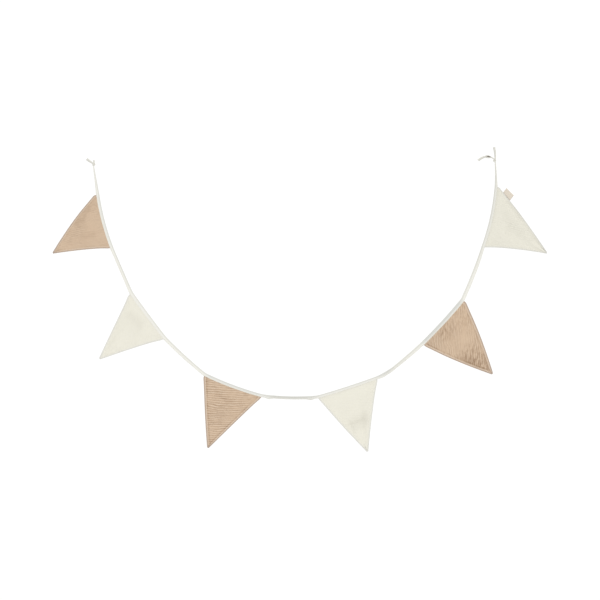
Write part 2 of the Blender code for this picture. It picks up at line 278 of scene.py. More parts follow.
def crinkle_patches(kind, along, across, seed):
    """One kind of the crinkle's chance patches, added up."""
    total = 0
    for row in CRINKLE_PATCHES:
        if row.kind == kind:
            total = total + row.weight * patchy(along / row.long, across / row.wide, seed + row.draw)
    return total


def crinkle(flag, x, y, seed):
    """Shrunk cotton's long wavering rows: along them, across them in rows 5 mm apart, their strength, and
    the strength of the loose puffs that break them up. The heights come last."""
    angle = math.radians(flag.grain)
    along = x * math.cos(angle) + y * math.sin(angle)
    across = y * math.cos(angle) - x * math.sin(angle)
    across = (across + crinkle_patches("waver", along, across, seed)) * EVEN_PITCH / flag.pitch
    row_strength = EVEN_ROWS + crinkle_patches("rows", along, across, seed)
    puff_strength = EVEN_PUFFS + crinkle_patches("puffs", along, across, seed)
    for area in CRINKLED_AREAS:
        if area.flag == flag.name:
            near = np.exp(-((x - area.x) ** 2 + (y - area.y) ** 2) / area.reach ** 2)
            row_strength = row_strength + area.rows * near
            puff_strength = puff_strength + area.puffs * near
    row_strength = row_strength.clip(LEAST_CRINKLE, MOST_ROWS) * flag.crinkle
    puff_strength = puff_strength.clip(LEAST_CRINKLE, MOST_PUFFS) * flag.crinkle
    puffs = crinkle_patches("broken", along, across, seed) * PUFF_HEIGHT * puff_strength
    ridges = ROW_HEIGHT * np.cos(2 * np.pi * across / EVEN_PITCH) * row_strength
    return np.stack([along, across, 0 * x], axis=-1), row_strength, puff_strength, puffs - ridges


class FlagCloth:
    """One flag as arrays: a row for each depth below the fold, a column for each share of the seam."""

    def __init__(self, flag, line, seed):
        self.flag = flag
        first, last = line.spans[flag.name]
        self.half_seam = (last - first) / 2
        middle = (first + last) / 2
        self.along = line.frames(np.array(middle))[1]
        lean = math.radians(flag.lean)
        down = np.cross(self.along, FORWARD) * math.cos(lean) + FORWARD * math.sin(lean)
        self.front = np.cross(down, self.along)
        chord_middle = (line.frames(np.array(first))[0] + line.frames(np.array(last))[0]) / 2
        self.drop = flag.drop * MM
        self.tip = chord_middle + down * self.drop + self.along * flag.sag * MM
        depth = np.concatenate([
            np.linspace(SEAM_INSIDE, HELD_DEPTH, HELD_ROWS),
            np.arange(HELD_DEPTH + FLAG_ROW_STEP, self.drop - TIP_ROWS_FROM, FLAG_ROW_STEP),
            self.drop - TIP_ROWS,
        ])[:, None]
        self.r = np.clip((depth - HELD_DEPTH) / (self.drop - HELD_DEPTH), 0, 1)
        half_width = self.half_seam * (1 - self.r) + TIP_WIDTH / 2 * self.r
        self.c = self.columns(half_width)
        trim = CORNER_TRIM * ease((depth - TAPE_WIDTH + MM) / FREE_WITHIN) * (1 - self.r)
        s = middle + self.c * (self.half_seam - trim)
        point, _, self.tape_down, front = line.frames(s)
        top = point + self.tape_down * np.minimum(depth, HELD_DEPTH)[..., None]
        self.across = self.c * half_width
        self.depth = depth + 0 * self.c
        self.inset = np.minimum((1 - np.abs(self.c)) * half_width, self.drop - self.depth)
        middle_sheet = self.draped(top)
        normal = np.cross(np.gradient(middle_sheet, axis=0), np.gradient(middle_sheet, axis=1))
        normal /= np.linalg.norm(normal, axis=-1, keepdims=True)
        held = (self.depth < HELD_DEPTH)[..., None]
        self.normal = np.where(held, front, normal)
        pressed = self.creases()
        middle_sheet = middle_sheet - self.normal * pressed[..., None]
        self.face_rows, self.face_relief, face_thick = self.crinkled(seed, pressed)
        self.back_rows, self.back_relief, back_thick = self.crinkled(seed + BACK_SEED_MORE, -pressed)
        self.face = middle_sheet + self.normal * face_thick[..., None]
        self.back = middle_sheet - self.normal * back_thick[..., None]

    def columns(self, half_width):
        """Seam shares of the columns: the edge's lines at their real insets, then even spaces between."""
        insets = np.array([line.inset for line in FLAG_EDGE]) * MM
        shrink = np.minimum(1, EDGE_SHARE * half_width / insets[-1])
        edge = 1 - insets * shrink / half_width
        inner = edge[:, -1:]
        middle = inner * np.linspace(-1, 1, FLAG_MIDDLE_COLUMNS + 2)[1:-1]
        return np.concatenate([-edge, middle, edge[:, ::-1]], axis=1)

    def draped(self, top):
        """The middle of the sheet, from its held top to its tip, with its bowed edges and soft waves."""
        flag, r, c = self.flag, self.r[..., None], self.c[..., None]
        to_tip = self.tip + self.along * (c * TIP_WIDTH / 2)
        bulge = 4 * r**BOW_FULLNESS * (1 - r**BOW_FULLNESS)
        bow = np.where(c > 0, flag.bow_last, flag.bow_first) * MM * bulge * c
        fullness = np.sin(np.pi * np.minimum(CURL_REACH * r, 1.0)).clip(0) ** CURL_FULLNESS
        curl = flag.curl * (c * c - CURL_LEVEL) * fullness
        across = np.sin(np.pi * (WAVES_ACROSS * c + 2 * flag.phase))
        downwards = np.cos(np.pi * (WAVES_DOWN * r + flag.phase))
        waves = flag.wave * across * downwards * (1 - WAVE_FADE * r)
        relief = (curl + waves) * ease(r / RELIEF_OVER) * MM
        hanging_way = to_tip - top
        stiff_way = self.tape_down * np.linalg.norm(hanging_way, axis=-1, keepdims=True) - hanging_way
        soft_bend = stiff_way * r * np.exp(-r / STIFF_SHARE)
        return top + hanging_way * r + soft_bend + self.along * bow + self.front * relief

    def creases(self):
        """How deep the handling folds press the sheet in."""
        x, y = self.across / MM, self.depth / MM
        total = 0 * x
        for crease in CREASES:
            if crease.flag != self.flag.name:
                continue
            run = np.array([crease.x1 - crease.x0, crease.y1 - crease.y0])
            share = ((x - crease.x0) * run[0] + (y - crease.y0) * run[1]) / (run @ run)
            waver = CREASE_WAVER * patchy(x / CREASE_PATCH, y / CREASE_PATCH, CREASE_DRAW)
            off = ((x - crease.x0) * run[1] - (y - crease.y0) * run[0]) / np.linalg.norm(run) + waver
            fades = ease(share / CREASE_FADE) * ease((1 - share) / CREASE_FADE)
            total = total + crease.depth * np.exp(-(off / crease.width) ** 2) * fades
        return total * ease((self.depth - TAPE_WIDTH) / CREASE_CLEAR) * MM

    def crinkled(self, seed, pressed):
        """One face's rows, how strong its rows, puffs and folds are, and how far it is from the middle."""
        x, y, inset = self.across / MM, self.depth / MM, self.inset / MM
        insets, half_thicks = zip(*[(line.inset, line.half_thick) for line in FLAG_EDGE])
        rows, row_strength, puff_strength, heights = crinkle(self.flag, x, y, seed)
        loose = HEM_CRINKLE + (1 - HEM_CRINKLE) * ease((inset - STITCH_INSET) / HEM_WITHIN)
        loose = loose * np.minimum(1, inset / RIM_WITHIN)
        each_side = np.sign(self.c) * PUCKER_APART + inset / PUCKER_WIDE
        puckers = patchy(self.depth / PUCKER_LONG, each_side, seed + PUCKER_DRAW)
        puckers = puckers * np.exp(-((inset - PUCKER_INSET) / PUCKER_REACH) ** 2)
        half = np.interp(inset, insets, half_thicks) + heights * loose + PUCKER * puckers
        free = ease((self.depth - TAPE_WIDTH) / FREE_WITHIN)
        thick = np.maximum(half, LEAST_HALF_THICK) * MM * free + FLAG_FLAT_HALF * (1 - free)
        relief = np.stack([row_strength * loose, puff_strength * loose, pressed / MM], axis=-1)
        return rows * MM, relief * MM, thick


def rim_order(rows, columns):
    """The grid's outer points in order round it, as (row, column)."""
    last_row, last_column = rows - 1, columns - 1
    around = [(0, j) for j in range(last_column)]
    around += [(i, last_column) for i in range(last_row)]
    around += [(last_row, j) for j in range(last_column, 0, -1)]
    around += [(i, 0) for i in range(last_row, 0, -1)]
    return around


def marked(mesh, **places):
    """Writes values on each point for the material to follow, such as where it lies on the flat cloth."""
    for name, values in places.items():
        layer = mesh.attributes.new(name, "FLOAT_VECTOR", "POINT")
        layer.data.foreach_set("vector", np.ascontiguousarray(values, dtype=np.float32).ravel())
    mesh.shade_smooth()
    return mesh


def sheet_mesh(name, cloth):
    """A flag's closed sheet from the grids of its two faces."""
    rows, columns = cloth.depth.shape
    count = rows * columns
    grid = np.arange(count).reshape(rows, columns)
    quads = np.stack([grid[:-1, :-1], grid[1:, :-1], grid[1:, 1:], grid[:-1, 1:]], axis=-1).reshape(-1, 4)
    around = [grid[at] for at in rim_order(rows, columns)]
    rim = [(a, b, b + count, a + count) for a, b in zip(around, around[1:] + around[:1])]
    faces = quads.tolist() + (quads[:, ::-1] + count).tolist() + [[int(v) for v in quad] for quad in rim]
    mesh = bpy.data.meshes.new(name)
    mesh.from_pydata(np.concatenate([cloth.face, cloth.back]).reshape(-1, 3).tolist(), [], faces)
    cut = np.stack([cloth.across, cloth.depth, cloth.inset], axis=-1)
    rows = np.concatenate([cloth.face_rows, cloth.back_rows])
    relief = np.concatenate([cloth.face_relief, cloth.back_relief])
    return marked(mesh, cut=np.concatenate([cut, cut]), rows=rows, relief=relief)


def placed(name, mesh, material):
    """A piece of the bunting, riding with the rest of it."""
    piece = bpy.data.objects.new(name, mesh)
    bpy.context.scene.collection.objects.link(piece)
    mesh.materials.append(material)
    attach(piece, "root")
    return piece


CLOTH_GLOSS = 0.25
SHEEN_ROUGHNESS = 0.6

# The Mix node's colour sockets, which have the same names as its sockets for numbers and vectors
MIX_FIRST, MIX_SECOND, MIX_RESULT = 6, 7, 2


class Reading:
    """A value that changes over the cloth. Sums of readings and numbers add their own nodes."""

    def __init__(self, finish, socket):
        self.finish = finish
        self.socket = socket

    def sum_of(self, operation, *values):
        return self.finish.node("ShaderNodeMath", {"operation": operation}, *values)

    def __add__(self, other):
        return self.sum_of("ADD", self, other)

    def __sub__(self, other):
        return self.sum_of("SUBTRACT", self, other)

    def __rsub__(self, other):
        return self.sum_of("SUBTRACT", other, self)

    def __mul__(self, other):
        return self.sum_of("MULTIPLY", self, other)

    def sine(self):
        return self.sum_of("SINE", self)

    def size(self):
        return self.sum_of("ABSOLUTE", self)


class Mixing:
    """Adds nodes to one tree: a finish's, or that of the light all around."""

    def __init__(self, tree):
        self.tree = tree

    def feed(self, socket, value):
        if isinstance(value, Reading):
            self.tree.links.new(value.socket, socket)
        else:
            socket.default_value = value

    def node(self, kind, settings, *values, output=0, **named):
        made = self.tree.nodes.new(kind)
        for key, value in settings.items():
            setattr(made, key, value)
        for socket, value in zip(made.inputs, values):
            self.feed(socket, value)
        for key, value in named.items():
            self.feed(made.inputs[key], value)
        return Reading(self, made.outputs[output])


class Finish(Mixing):
    """A material while it is put together."""

    def __init__(self, name, roughness, sheen):
        self.material = bpy.data.materials.new(name)
        self.material.use_nodes = True
        super().__init__(self.material.node_tree)
        self.shader = self.tree.nodes["Principled BSDF"]
        self.shader.inputs["Roughness"].default_value = roughness
        self.shader.inputs["Specular IOR Level"].default_value = CLOTH_GLOSS
        self.shader.inputs["Sheen Weight"].default_value = sheen
        self.shader.inputs["Sheen Roughness"].default_value = SHEEN_ROUGHNESS

    def written(self, name="cut"):
        """What is written on the cloth's points, as a vector and as its three values in millimetres. The
        cut holds where the point lies on the flat cloth: across, down, and in from the sewn edge."""
        place = self.node("ShaderNodeAttribute", {"attribute_name": name}, output="Vector")
        split = self.node("ShaderNodeSeparateXYZ", {}, place).socket.node
        return place, *[Reading(self, split.outputs[axis]) * (1 / MM) for axis in "XYZ"]

    def cloud(self, place, size_mm, detail=2.0):
        """Soft chance patches of about the given size, from 0 to 1."""
        return self.node("ShaderNodeTexNoise", {}, Vector=place, Scale=1 / (size_mm * MM), Detail=detail)

    def between(self, value, low, high):
        """From 0 at low to 1 at high, held beyond them."""
        named = {"From Min": low, "From Max": high}
        return self.node("ShaderNodeMapRange", {"clamp": True}, Value=value, **named)

    def blend(self, share, first, second):
        settings = {"data_type": "RGBA", "clamp_factor": True}
        made = self.node("ShaderNodeMix", settings, share, output=MIX_RESULT)
        mix = made.socket.node
        self.feed(mix.inputs[MIX_FIRST], first)
        self.feed(mix.inputs[MIX_SECOND], second)
        return made

    def finished(self, colour, height, relief_mm, strength):
        self.feed(self.shader.inputs["Base Color"], colour)
        named = {"Strength": strength, "Distance": relief_mm * MM, "Height": height}
        self.feed(self.shader.inputs["Normal"], self.node("ShaderNodeBump", {}, **named))
        return self.material


def screen(red, green, blue):
    """A colour as a screen shows it, 0 to 255, to the linear one that a shader takes."""
    shares = [value / 255 for value in (red, green, blue)]
    linear = [v / 12.92 if v <= 0.04045 else ((v + 0.055) / 1.055) ** 2.4 for v in shares]
    return (*linear, 1.0)


# The shades of each cloth, as on a screen: where its threads lie close, where they are thin and let light
# through, the painted shade down in the grooves, the painted shade on the turned rim, and beside the
# topstitching, also a painted highlight on the crests
Shades = namedtuple("Shades", "cloth close thin groove rim stitched")
FLAG_SHADES = [
    Shades("tan", (208, 182, 155), (218, 194, 168), (159, 131, 105), (176, 157, 142), (240, 228, 214)),
    Shades("cream", (231, 228, 214), (238, 235, 223), (206, 202, 189), (218, 217, 211), (240, 239, 232)),
]
FLAG_THREADS = 1.1
LOOSE_INSET = 9
TIP_SHADE = 188.0, 216.0


def crinkled_cotton(shades):
    """Open double cotton: soft threads half a millimetre apart, with painted shade down in its grooves and
    a painted highlight on its crests.
    """
    finish = Finish(f"{shades.cloth}_crinkled_cotton", roughness=0.92, sheen=0.12)
    close, thin, groove, rim, lit_and_stitched = (screen(*shade) for shade in shades[1:])
    place, x, y, inset = finish.written()
    rows, _, across, _ = finish.written("rows")
    _, row_strength, puff_strength, pressed = finish.written("relief")
    thread = 2 * math.pi / FLAG_THREADS
    weave = (x * thread).sine() * (y * thread).sine()
    slub = finish.cloud(place, 6.0, detail=5.0)
    fibres = finish.cloud(place, 1.3, detail=3.0)
    long_way = finish.node("ShaderNodeVectorMath", {"operation": "MULTIPLY"}, rows, (0.10, 1.0, 0.0))
    pleats = finish.cloud(long_way, 2.2, detail=3.0)
    short_way = finish.node("ShaderNodeVectorMath", {"operation": "MULTIPLY"}, rows, (0.45, 1.0, 0.0))
    puffs = finish.cloud(short_way, 6.5, detail=2.0)
    body = finish.blend(finish.cloud(place, 45.0) * 0.5 + slub * 0.5, thin, close)
    crest = (across * (math.pi / EVEN_PITCH)).sine().size()
    ragged = pleats * 0.5 + fibres * 0.24 + weave * 0.07 - 0.37
    # Masks for painted shade in the grooves between the rows, the hollows between the puffs, the handling
    # creases and a line just inside each hem
    sunk_shaded = (1 - finish.between(crest + ragged, 0.05, 0.72)) * finish.between(row_strength, 0.05, 1.0)
    crest_highlight = finish.between(crest + ragged, 0.75, 1.05) * finish.between(row_strength, 0.05, 1.2)
    hollow_shaded = (1 - finish.between(puffs, 0.36, 0.62)) * finish.between(puff_strength, 0.08, 1.3)
    fold = finish.between(pressed, 0.2, 2.4)
    by_hem = 1 - finish.between((inset - LOOSE_INSET).size(), 0.8, 3.0)
    hem_shadow = by_hem * finish.between(row_strength, 0.2, 1.0)
    # Painted highlight: the crests of the rows are lightened towards the shade beside the topstitching
    body = finish.blend(crest_highlight * 0.35, body, lit_and_stitched)
    woven = (weave * 0.5 + 0.5) * 0.06 + (1 - finish.between(fibres, 0.3, 0.6)) * 0.08
    # Painted shade in the grooves, hollows and creases and inside the hem, together with the weave's own
    # darker threads
    body = finish.blend(sunk_shaded * 0.52 + hollow_shaded * 0.54 + fold * 0.35 + hem_shadow * 0.4 + woven, body, groove)
    topstitched = 1 - finish.between((inset - STITCH_INSET).size(), 0.5, 1.8)
    body = finish.blend(topstitched * 0.15, body, lit_and_stitched)
    # Painted shade on the turned rim and towards the tip
    turned = (1 - finish.between(inset, 1.2, 6.0)) * (fibres * 0.6 + 0.7)
    at_tip = finish.between(y, *TIP_SHADE)
    shade = finish.blend(turned * 0.8 + at_tip * 0.3, body, rim)
    height = weave * 0.2 + slub * 0.5 + fibres * 0.4 - sunk_shaded * 1.1 - hollow_shaded * 0.6
    return finish.finished(shade, height, relief_mm=0.4, strength=0.85)


flag_finish = {shades.cloth: crinkled_cotton(shades) for shades in FLAG_SHADES}
flag_cloths = {}
for number, flag in enumerate(FLAGS, start=1):
    cloth = FlagCloth(flag, hanging, seed=FLAG_SEEDS_APART * number)
    flag_cloths[flag.name] = cloth
    mesh = sheet_mesh(f"{flag.name}_cloth", cloth)
    piece = placed(f"{flag.name}_cloth", mesh, flag_finish[flag.cloth])
    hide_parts(flag.name)
    width, length = 2 * cloth.half_seam, cloth.drop - SEAM_INSIDE
    held_part = width * (HELD_DEPTH - SEAM_INSIDE)
    free_part = (width + TIP_WIDTH) / 2 * (cloth.drop - HELD_DEPTH)
    held_part + free_part

# The flags' topstitching. One line of machine stitches runs down each long side, 4.6 mm in from the turned
# edge, through all the layers, so it shows on the front and on the back. The thread is a little
# lighter than the tan cloth, and matches the cream.
STITCH_PITCH = 3.2 * MM
STITCH_LONG = 2.6 * MM
THREAD_RADIUS = 0.4 * MM
STITCH_SIDES = 5

# Along one stitch: the share of its length, its height in thread radii, and its share of full thickness
StitchRing = namedtuple("StitchRing", "share rise thick")
STITCH_RINGS = [
    StitchRing(0.0, -0.9, 0.4),
    StitchRing(0.18, 0.35, 0.9),
    StitchRing(0.5, 0.8, 1.0),
    StitchRing(0.82, 0.35, 0.9),
    StitchRing(1.0, -0.9, 0.4),
]


def stitches(line, normals):
    """Points and faces of a row of stitches lying on a line."""
    steps = np.linalg.norm(np.diff(line, axis=0), axis=1)
    run = np.concatenate([[0], np.cumsum(steps)])
    starts = np.arange(STITCH_PITCH, run[-1] - STITCH_PITCH, STITCH_PITCH)

    def along_line(values, s):
        return np.stack([np.interp(s, run, values[:, axis]) for axis in range(3)], axis=-1)

    first, last = along_line(line, starts), along_line(line, starts + STITCH_LONG)
    out = along_line(normals, starts + STITCH_LONG / 2)
    out /= np.linalg.norm(out, axis=1, keepdims=True)
    side = np.cross(last - first, out)
    side /= np.linalg.norm(side, axis=1, keepdims=True)
    angles = np.arange(STITCH_SIDES) * 2 * math.pi / STITCH_SIDES
    rings = []
    for ring in STITCH_RINGS:
        centre = first + (last - first) * ring.share + out * ring.rise * THREAD_RADIUS
        radius = THREAD_RADIUS * ring.thick
        around = [centre + radius * (math.cos(a) * out + math.sin(a) * side) for a in angles]
        rings.append(np.stack(around, axis=1))
    points = np.stack(rings, axis=1)
    per_stitch = len(STITCH_RINGS) * STITCH_SIDES
    faces = []
    for i in range(len(STITCH_RINGS) - 1):
        for j in range(STITCH_SIDES):
            k = (j + 1) % STITCH_SIDES
            low, high = i * STITCH_SIDES, (i + 1) * STITCH_SIDES
            faces.append([low + j, low + k, high + k, high + j])
    caps = [list(range(STITCH_SIDES))[::-1], [per_stitch - STITCH_SIDES + j for j in range(STITCH_SIDES)]]
    every = [[v + per_stitch * n for v in face] for n in range(len(starts)) for face in faces + caps]
    return points.reshape(-1, 3), every


def faced_out(mesh):
    """Turns all the faces of a closed body outwards."""
    bm = bmesh.new()
    bm.from_mesh(mesh)
    bmesh.ops.recalc_face_normals(bm, faces=bm.faces)
    bm.to_mesh(mesh)
    bm.free()
    return mesh


def thread_mesh(name, seams):
    """One mesh of all the rows of stitches given as (line, normals)."""
    points, faces, count = [], [], 0
    for line, normals in seams:
        more_points, more_faces = stitches(line, normals)
        points.append(more_points)
        faces += [[v + count for v in face] for face in more_faces]
        count += len(more_points)
    mesh = bpy.data.meshes.new(name)
    mesh.from_pydata(np.concatenate(points).tolist(), [], faces)
    return marked(faced_out(mesh), cut=np.concatenate(points))


PLY_LENGTH = 0.45


def sewing_thread(name, colour, twist_colour):
    """Spun thread: fine plies that show as a slight change of tone along it."""
    finish = Finish(name, roughness=0.7, sheen=0.0)
    place, x, y, z = finish.written()
    plies = ((x + y + z) * (2 * math.pi / PLY_LENGTH)).sine() * 0.5 + 0.5
    fuzz = finish.cloud(place, 0.8)
    shade = finish.blend(plies * 0.5 + fuzz * 0.3, colour, twist_colour)
    return finish.finished(shade, plies, relief_mm=0.08, strength=0.4)


thread_finish = {
    "tan": sewing_thread("tan_thread", screen(249, 242, 231), screen(228, 214, 197)),
    "cream": sewing_thread("cream_thread", screen(243, 242, 236), screen(226, 224, 215)),
}

for name, cloth in flag_cloths.items():
    seams = []
    for column in (STITCH_LINE, -1 - STITCH_LINE):
        free = cloth.depth[:, column] > TAPE_WIDTH
        for sheet, side in ((cloth.face, 1), (cloth.back, -1)):
            seams.append((sheet[free, column], side * cloth.normal[free, column]))
    mesh = thread_mesh(f"{name}_topstitching", seams)
    placed(f"{name}_topstitching", mesh, thread_finish[cloth.flag.cloth])

# The label. A short piece of woven ribbon, folded in half with its raw ends caught in the last flag's
# side seam, so that it stands out past the edge near the upper corner. It is bare.
LABEL_FROM_CORNER = 27 * MM
LABEL_LENGTH = 33 * MM
LABEL_OUT_TOP = 17.5 * MM
LABEL_OUT_BOTTOM = 21.5 * MM
LABEL_SWING = math.radians(5)
LABEL_GAP = 0.3 * MM
LABEL_COLUMNS = 60
LABEL_BEND = 0.8 * MM
BEND_FROM = 0.15
BEND_OVER = 0.7
SEWN_COLUMN = -4
RIB_PITCH = 0.5
WARP_PITCH = 0.35
SELVEDGE_FROM = 1.8
SELVEDGE_FULL = 1.2

# The folded ribbon's outline, from one raw end out to the fold and back: the share of the way out,
# millimetres more, and millimetres out of the ribbon's front
RibbonPoint = namedtuple("RibbonPoint", "share more front")
RIBBON_SIDE = [
    RibbonPoint(0.0, 0.0, 0.12),
    RibbonPoint(0.0, 0.0, 0.50),
    RibbonPoint(0.2, 0.0, 0.56),
    RibbonPoint(0.4, 0.0, 0.60),
    RibbonPoint(0.6, 0.0, 0.60),
    RibbonPoint(0.8, 0.0, 0.58),
    RibbonPoint(1.0, -0.9, 0.54),
    RibbonPoint(1.0, -0.35, 0.44),
    RibbonPoint(1.0, -0.08, 0.24),
]
RIBBON_INSIDE = RibbonPoint(1.0, -1.1, 0.12)


def loft_mesh(name, rings, cut):
    """A closed body through rings of points, with its ends closed."""
    stations, around = rings.shape[:2]
    grid = np.arange(stations * around).reshape(stations, around)
    turned = np.roll(grid, -1, axis=1)
    quads = np.stack([grid[:-1], turned[:-1], turned[1:], grid[1:]], axis=-1).reshape(-1, 4)
    faces = quads.tolist() + [grid[0].tolist()[::-1], grid[-1].tolist()]
    mesh = bpy.data.meshes.new(name)
    mesh.from_pydata(rings.reshape(-1, 3).tolist(), [], faces)
    return marked(faced_out(mesh), cut=cut)


def label_rings(cloth):
    """Rings of the folded ribbon from its upper side to its lower one, and where they lie on it flat."""
    edge = (cloth.face[:, -1] + cloth.back[:, -1]) / 2
    free = cloth.depth[:, -1] >= TAPE_WIDTH
    edge, edge_normals = edge[free], cloth.normal[free, SEWN_COLUMN]
    run = np.concatenate([[0], np.cumsum(np.linalg.norm(np.diff(edge, axis=0), axis=1))])
    share = np.linspace(0, 1, LABEL_COLUMNS)
    s = LABEL_FROM_CORNER + share * LABEL_LENGTH
    root = np.stack([np.interp(s, run, edge[:, axis]) for axis in range(3)], axis=-1)
    normal = np.stack([np.interp(s, run, edge_normals[:, axis]) for axis in range(3)], axis=-1)
    normal = normal.mean(axis=0) / np.linalg.norm(normal.mean(axis=0))
    downwards = (root[-1] - root[0]) / np.linalg.norm(root[-1] - root[0])
    out = np.cross(normal, downwards)
    out = out if out @ cloth.along > 0 else -out
    out = out * math.cos(LABEL_SWING) - downwards * math.sin(LABEL_SWING)
    reach = LABEL_OUT_TOP + (LABEL_OUT_BOTTOM - LABEL_OUT_TOP) * share
    side = [(p, 1) for p in RIBBON_SIDE]
    outline = side + [(p, -1) for p in reversed(RIBBON_SIDE)] + [(RIBBON_INSIDE, -1), (RIBBON_INSIDE, 1)]
    rings, flat = [], []
    for point, facing in outline:
        way = point.share * reach + point.more * MM
        arch = np.sin(np.pi * (BEND_FROM + BEND_OVER * share))
        bend = LABEL_BEND * (way / LABEL_OUT_BOTTOM) ** 2 * arch
        offset = out * (LABEL_GAP + way)[:, None] + normal * (bend + facing * point.front * MM)[:, None]
        rings.append(root + offset)
        flat.append(np.stack([s, way * facing, 0 * s], axis=-1))
    return np.stack(rings, axis=1), np.stack(flat, axis=1)


def woven_ribbon(name, colour, edge_colour):
    """Close satin ribbon: fine ribs, with a firmer woven edge."""
    finish = Finish(name, roughness=0.6, sheen=0.05)
    place, x, y, _ = finish.written()
    ribs = (y * (2 * math.pi / RIB_PITCH)).sine() * 0.5 + (x * (2 * math.pi / WARP_PITCH)).sine() * 0.3
    tone = finish.cloud(place, 5.0)
    middle = (LABEL_FROM_CORNER + LABEL_LENGTH / 2) / MM
    side = LABEL_LENGTH / 2 / MM
    selvedge = finish.between((x - middle).size(), side - SELVEDGE_FROM, side - SELVEDGE_FULL)
    shade = finish.blend(selvedge * 0.5 + tone * 0.3, colour, edge_colour)
    return finish.finished(shade, ribs, relief_mm=0.12, strength=0.4)


label_mesh = loft_mesh("label_ribbon", *label_rings(flag_cloths["flag_6"]))
ribbon_finish = woven_ribbon("tan_ribbon", screen(229, 219, 204), screen(217, 205, 190))
label = placed("label_ribbon", label_mesh, ribbon_finish)
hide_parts("label")

# The tape. A long strip of plain cream cotton, pressed in half over the flags' raw tops with its own edges
# turned in, and sewn through near its lower edge from end to end. Its bare ends are the ties, and each
# is knotted close to its end, with the free tails standing out of the knot.
TAPE_STEP = 2.5 * MM
TAIL_STEP = 1.0 * MM
FOLD_THICK = 0.6 * MM
SHUT_SLOT = 0.1 * MM
OPEN_SLOT = 0.8 * MM
SLOT_OPENS_OVER = 6 * MM
MOUTH_OPENS = 5.0 * MM
TAIL_START_IN_KNOT = 2 * MM
TAPE_UNEVEN = 0.22 * MM
TAPE_UNEVEN_LONG = 17 * MM
TAPE_PUFF = 0.08 * MM
TAPE_PUFF_LONG = 6 * MM
TAPE_PUFF_WIDE = 5 * MM
STRIP_SEED = 40

# One layer of the tape's section, from its inner lower edge round to the fold: the share of the width,
# millimetres more, and millimetres out from the slot
TapePoint = namedtuple("TapePoint", "name share more front")
TAPE_SIDE = [
    TapePoint("inside", 1, -0.20, 0.00),
    TapePoint("edge", 1, -0.04, 0.12),
    TapePoint("edge", 1, 0.0, 0.27),
    TapePoint("edge", 1, -0.08, 0.44),
    TapePoint("below", 1, -0.3, 0.56),
    TapePoint("below", 1, -1.2, 0.60),
    TapePoint("groove", 1, -1.8, 0.50),
    TapePoint("stitches", 1, -2.1, 0.42),
    TapePoint("groove", 1, -2.4, 0.50),
    TapePoint("above", 1, -3.0, 0.62),
    TapePoint("belly", 0.6, 0.0, 0.66),
    TapePoint("belly", 0.4, 0.0, 0.66),
    TapePoint("shoulder", 0, 2.2, 0.62),
    TapePoint("shoulder", 0, 1.1, 0.55),
    TapePoint("fold", 0, 0.4, 0.40),
    TapePoint("fold", 0, 0.1, 0.20),
]
TAPE_STITCHES = [point.name for point in TAPE_SIDE].index("stitches")
TAPE_STITCH_INSET = -TAPE_SIDE[TAPE_STITCHES].more

# The free tails beyond each knot, each a table of stretches like the hanging tape's
TAILS = {
    "left_up": [
        Stretch("stub", 13, 97, 4, 66, 0, 7),
        Stretch("end", 0, 97, 0, 60, 0, 9),
    ],
    "left_side": [
        Stretch("out", 11, 156, 14, 68, 0, 7),
        Stretch("free", 16, 145, -10, 56, 0, 11),
        Stretch("end", 0, 140, 0, 52, 0, 12),
    ],
    "right_up": [
        Stretch("rise", 20, 94, 6, 66, 0, 7),
        Stretch("free", 20, 102, 10, 60, 0, 11),
        Stretch("end", 0, 106, 0, 56, 0, 12),
    ],
    "right_side": [
        Stretch("out", 14, 140, 40, 60, 0, 7),
        Stretch("mouth", 18, 180, 20, 84, 0, 12),
        Stretch("free", 22, 212, 24, 64, 0, 12),
        Stretch("end", 0, 222, 0, 52, 0, 12),
    ],
}


def slot_width(line, s):
    """Shut between the flags, open around each flag's top, and wide where a free tail's layers part."""
    away = np.full_like(s, SLOT_OPENS_OVER)
    for flag in FLAGS:
        if flag.name in line.spans:
            first, last = line.spans[flag.name]
            away = np.minimum(away, np.maximum(np.maximum(first - s, s - last), 0))
    width = OPEN_SLOT + (SHUT_SLOT - OPEN_SLOT) * ease((away - MM) / (SLOT_OPENS_OVER - MM))
    if "mouth" in line.spans:
        first, last = line.spans["mouth"]
        width = width + MOUTH_OPENS * np.sin(np.pi * np.clip((s - first) / (last - first), 0, 1))
    return width


def strip_rings(line, s, seed):
    """Rings of the folded strip, where each point is on the flat strip, and the directions at each ring."""
    point, along, down, front = line.frames(s)
    half_slot = slot_width(line, s) / 2
    width = np.interp(s, line.steps, line.width)
    width = width + TAPE_UNEVEN * patchy(s / TAPE_UNEVEN_LONG, 0 * s, seed)
    outline = [(p, 1) for p in TAPE_SIDE] + [(None, 0)] + [(p, -1) for p in reversed(TAPE_SIDE)]
    rings, flat = [], []
    for place, facing in outline:
        if place is None:
            depth, out = 0 * s, 0 * s
        else:
            depth = place.share * width + place.more * MM
            puff = TAPE_PUFF * patchy(s / TAPE_PUFF_LONG, depth / TAPE_PUFF_WIDE, seed + facing)
            puff = puff if place.name in ("belly", "above", "below", "shoulder") else 0
            out = facing * (half_slot + place.front * MM + puff)
        rings.append(point + down * depth[:, None] + front * out[:, None])
        flat.append(np.stack([s, depth * facing, width - depth], axis=-1))
    for facing in (-1, 1):
        rings.append(point + down * FOLD_THICK + front * (facing * half_slot)[:, None])
        flat.append(np.stack([s, 0 * s + FOLD_THICK, 0 * s], axis=-1))
    return np.stack(rings, axis=1), np.stack(flat, axis=1), front


